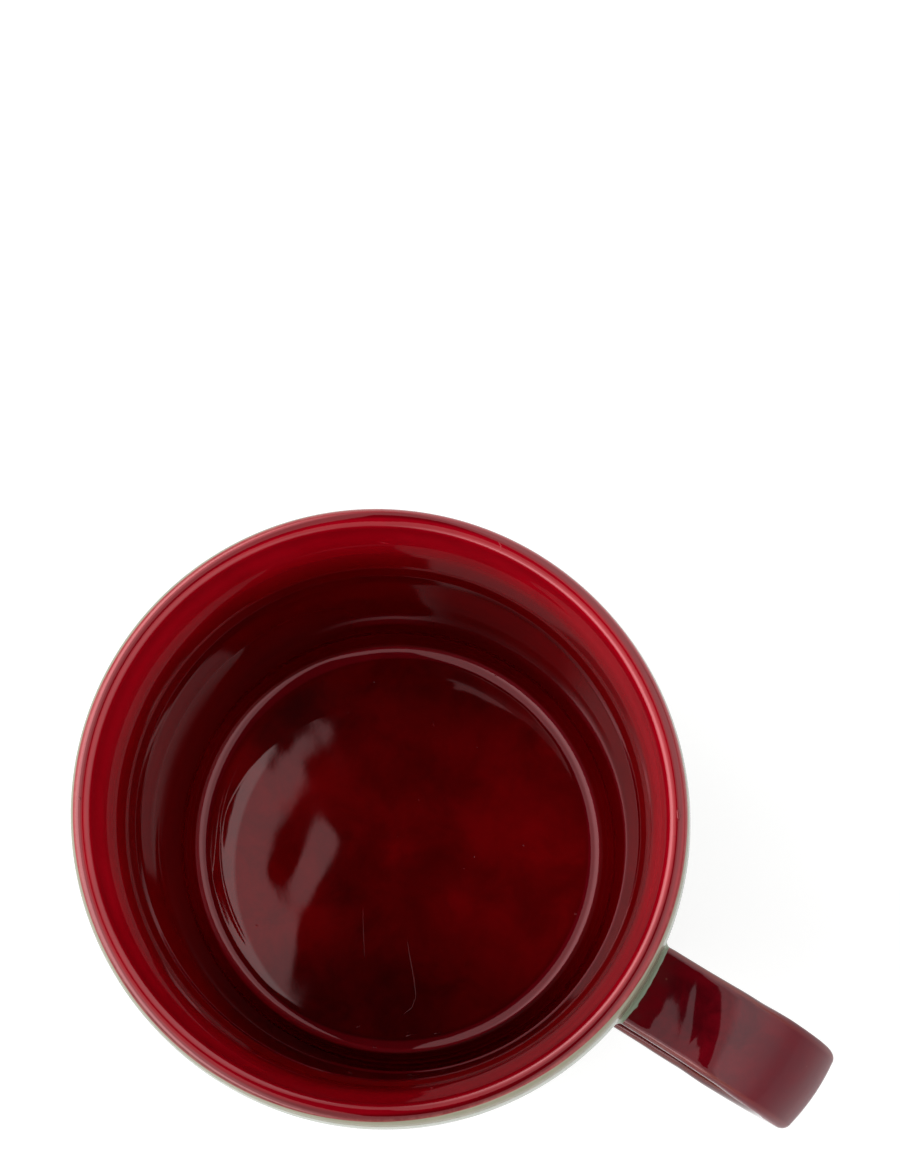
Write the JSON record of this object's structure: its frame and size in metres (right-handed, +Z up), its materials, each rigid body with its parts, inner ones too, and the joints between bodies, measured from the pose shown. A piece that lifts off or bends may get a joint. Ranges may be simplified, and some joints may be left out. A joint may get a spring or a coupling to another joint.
{
  "type": "mug",
  "caption": "Straight-sided glazed ceramic mug with a rounded lip, a wide flat strap handle and a bare foot ring: red inside, lip and handle, sage green outside.",
  "frame": {"origin": "on the standing plane under the foot ring, at the middle of the outline of bowl and handle together; the bowl's axis stands at x = -0.0165 m", "axes": "+Z up along the bowl's axis, out of its mouth; +X from the bowl towards the handle; +Y across the handle"},
  "size_m": [0.125, 0.092, 0.096],
  "materials": {
    "bare_clay": "matt, fine-grained fired stoneware",
    "red_liner_glaze": "high gloss, deep red, brighter where it thins over the lip",
    "red_handle_glaze": "high gloss, maroon, faintly mottled",
    "green_glaze": "satin gloss, sage green, paler where it pools at the handle's roots"
  },
  "bodies": {
    "root": {"cup_body": "bare_clay", "liner_glaze": "red_liner_glaze", "outer_glaze": "green_glaze", "handle": "red_handle_glaze", "upper_root_slip": "green_glaze", "lower_root_slip": "green_glaze"}
  },
  "joints": []
}
